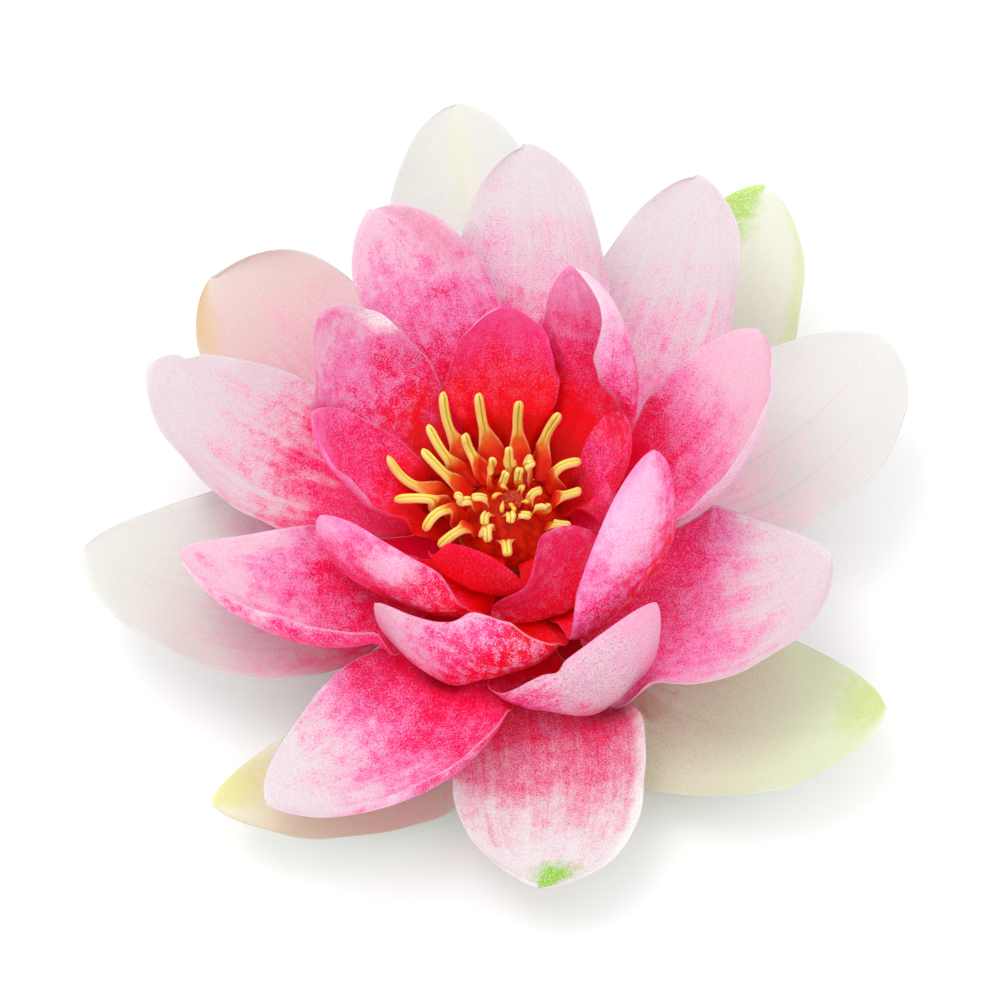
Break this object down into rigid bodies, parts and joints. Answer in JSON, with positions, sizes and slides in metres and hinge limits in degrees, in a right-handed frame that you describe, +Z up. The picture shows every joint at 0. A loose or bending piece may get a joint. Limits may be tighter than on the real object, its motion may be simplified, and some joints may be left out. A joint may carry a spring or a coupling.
{
  "type": "water lily flower",
  "caption": "Open pink water lily flower, white at its outer petals and red within, with curled yellow stamens, picked and resting on its sepals.",
  "frame": {"origin": "on the surface the flower rests on, under the centre of its bounding box", "axes": "+Z up, -Y towards the front of the flower, +X to its right; the stem's axis is vertical"},
  "size_m": [0.1274, 0.1376, 0.0503],
  "materials": {
    "receptacle_green": "satin living tissue",
    "stigma_yellow": "satin living tissue",
    "sepal_green_white": "smooth, satin",
    "outer_petal_blush": "smooth, satin",
    "second_petal_pink": "smooth, satin",
    "third_petal_pink": "smooth, satin",
    "fourth_petal_rose": "smooth, satin",
    "inner_petal_red": "smooth, satin",
    "outer_stamen_orange": "smooth, satin",
    "inner_stamen_yellow": "smooth, satin"
  },
  "bodies": {
    "root": {"fourth_petal_back": "fourth_petal_rose", "fourth_petal_back_left": "fourth_petal_rose", "fourth_petal_front_left": "fourth_petal_rose", "fourth_petal_right": "fourth_petal_rose", "inner_petal_back": "inner_petal_red", "inner_petal_front": "inner_petal_red", "inner_petal_front_left": "inner_petal_red", "inner_petal_front_right": "inner_petal_red", "inner_petal_left": "inner_petal_red", "inner_petal_right": "inner_petal_red", "inner_stamen_01": "inner_stamen_yellow", "inner_stamen_02": "inner_stamen_yellow", "inner_stamen_03": "inner_stamen_yellow", "inner_stamen_04": "inner_stamen_yellow", "inner_stamen_05": "inner_stamen_yellow", "inner_stamen_06": "inner_stamen_yellow", "inner_stamen_07": "inner_stamen_yellow", "inner_stamen_08": "inner_stamen_yellow", "inner_stamen_09": "inner_stamen_yellow", "inner_stamen_10": "inner_stamen_yellow", "inner_stamen_11": "inner_stamen_yellow", "inner_stamen_12": "inner_stamen_yellow", "inner_stamen_13": "inner_stamen_yellow", "inner_stamen_14": "inner_stamen_yellow", "outer_petal_back": "outer_petal_blush", "outer_petal_front": "outer_petal_blush", "outer_petal_left": "outer_petal_blush", "outer_petal_right": "outer_petal_blush", "outer_stamen_01": "outer_stamen_orange", "outer_stamen_02": "outer_stamen_orange", "outer_stamen_03": "outer_stamen_orange", "outer_stamen_04": "outer_stamen_orange", "outer_stamen_05": "outer_stamen_orange", "outer_stamen_06": "outer_stamen_orange", "outer_stamen_07": "outer_stamen_orange", "outer_stamen_08": "outer_stamen_orange", "outer_stamen_09": "outer_stamen_orange", "outer_stamen_10": "outer_stamen_orange", "outer_stamen_11": "outer_stamen_orange", "outer_stamen_12": "outer_stamen_orange", "outer_stamen_13": "outer_stamen_orange", "outer_stamen_14": "outer_stamen_orange", "receptacle": "receptacle_green", "second_petal_back_right": "second_petal_pink", "second_petal_front_left": "second_petal_pink", "second_petal_left": "second_petal_pink", "second_petal_right": "second_petal_pink", "sepal_back_left": "sepal_green_white", "sepal_back_right": "sepal_green_white", "sepal_front_left": "sepal_green_white", "sepal_front_right": "sepal_green_white", "stigma": "stigma_yellow", "third_petal_back": "third_petal_pink", "third_petal_back_left": "third_petal_pink", "third_petal_front_right": "third_petal_pink", "third_petal_left": "third_petal_pink", "third_petal_right": "third_petal_pink"}
  },
  "joints": []
}
